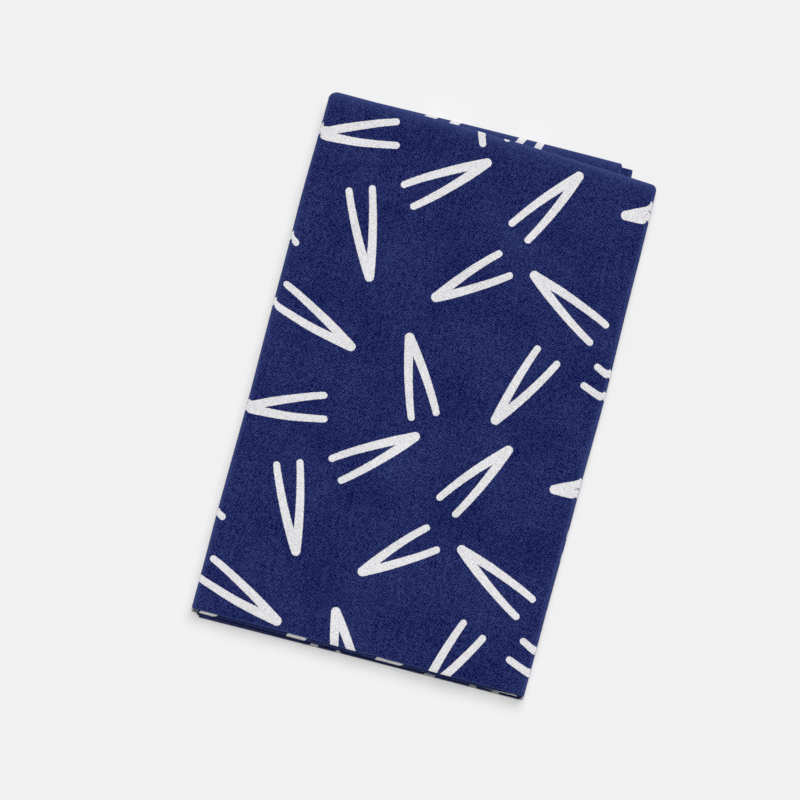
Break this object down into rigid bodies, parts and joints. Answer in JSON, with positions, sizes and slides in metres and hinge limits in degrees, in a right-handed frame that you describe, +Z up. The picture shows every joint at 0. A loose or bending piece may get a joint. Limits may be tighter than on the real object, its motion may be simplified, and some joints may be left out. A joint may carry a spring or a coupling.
{
  "type": "folded tenugui towel",
  "caption": "Thin cotton hand towel folded lengthwise and then back and forth into a flat oblong packet, white motifs on deep blue.",
  "frame": {"origin": "middle of the packet's underside, on the surface that it lies on", "axes": "+Z up, +Y along the packet's length towards the end with the creases of the upper passes, +X across it"},
  "size_m": [0.1158, 0.1844, 0.0065],
  "materials": {
    "dyed_cotton": "matt plain weave"
  },
  "bodies": {
    "root": {"towel": "dyed_cotton"}
  },
  "joints": []
}
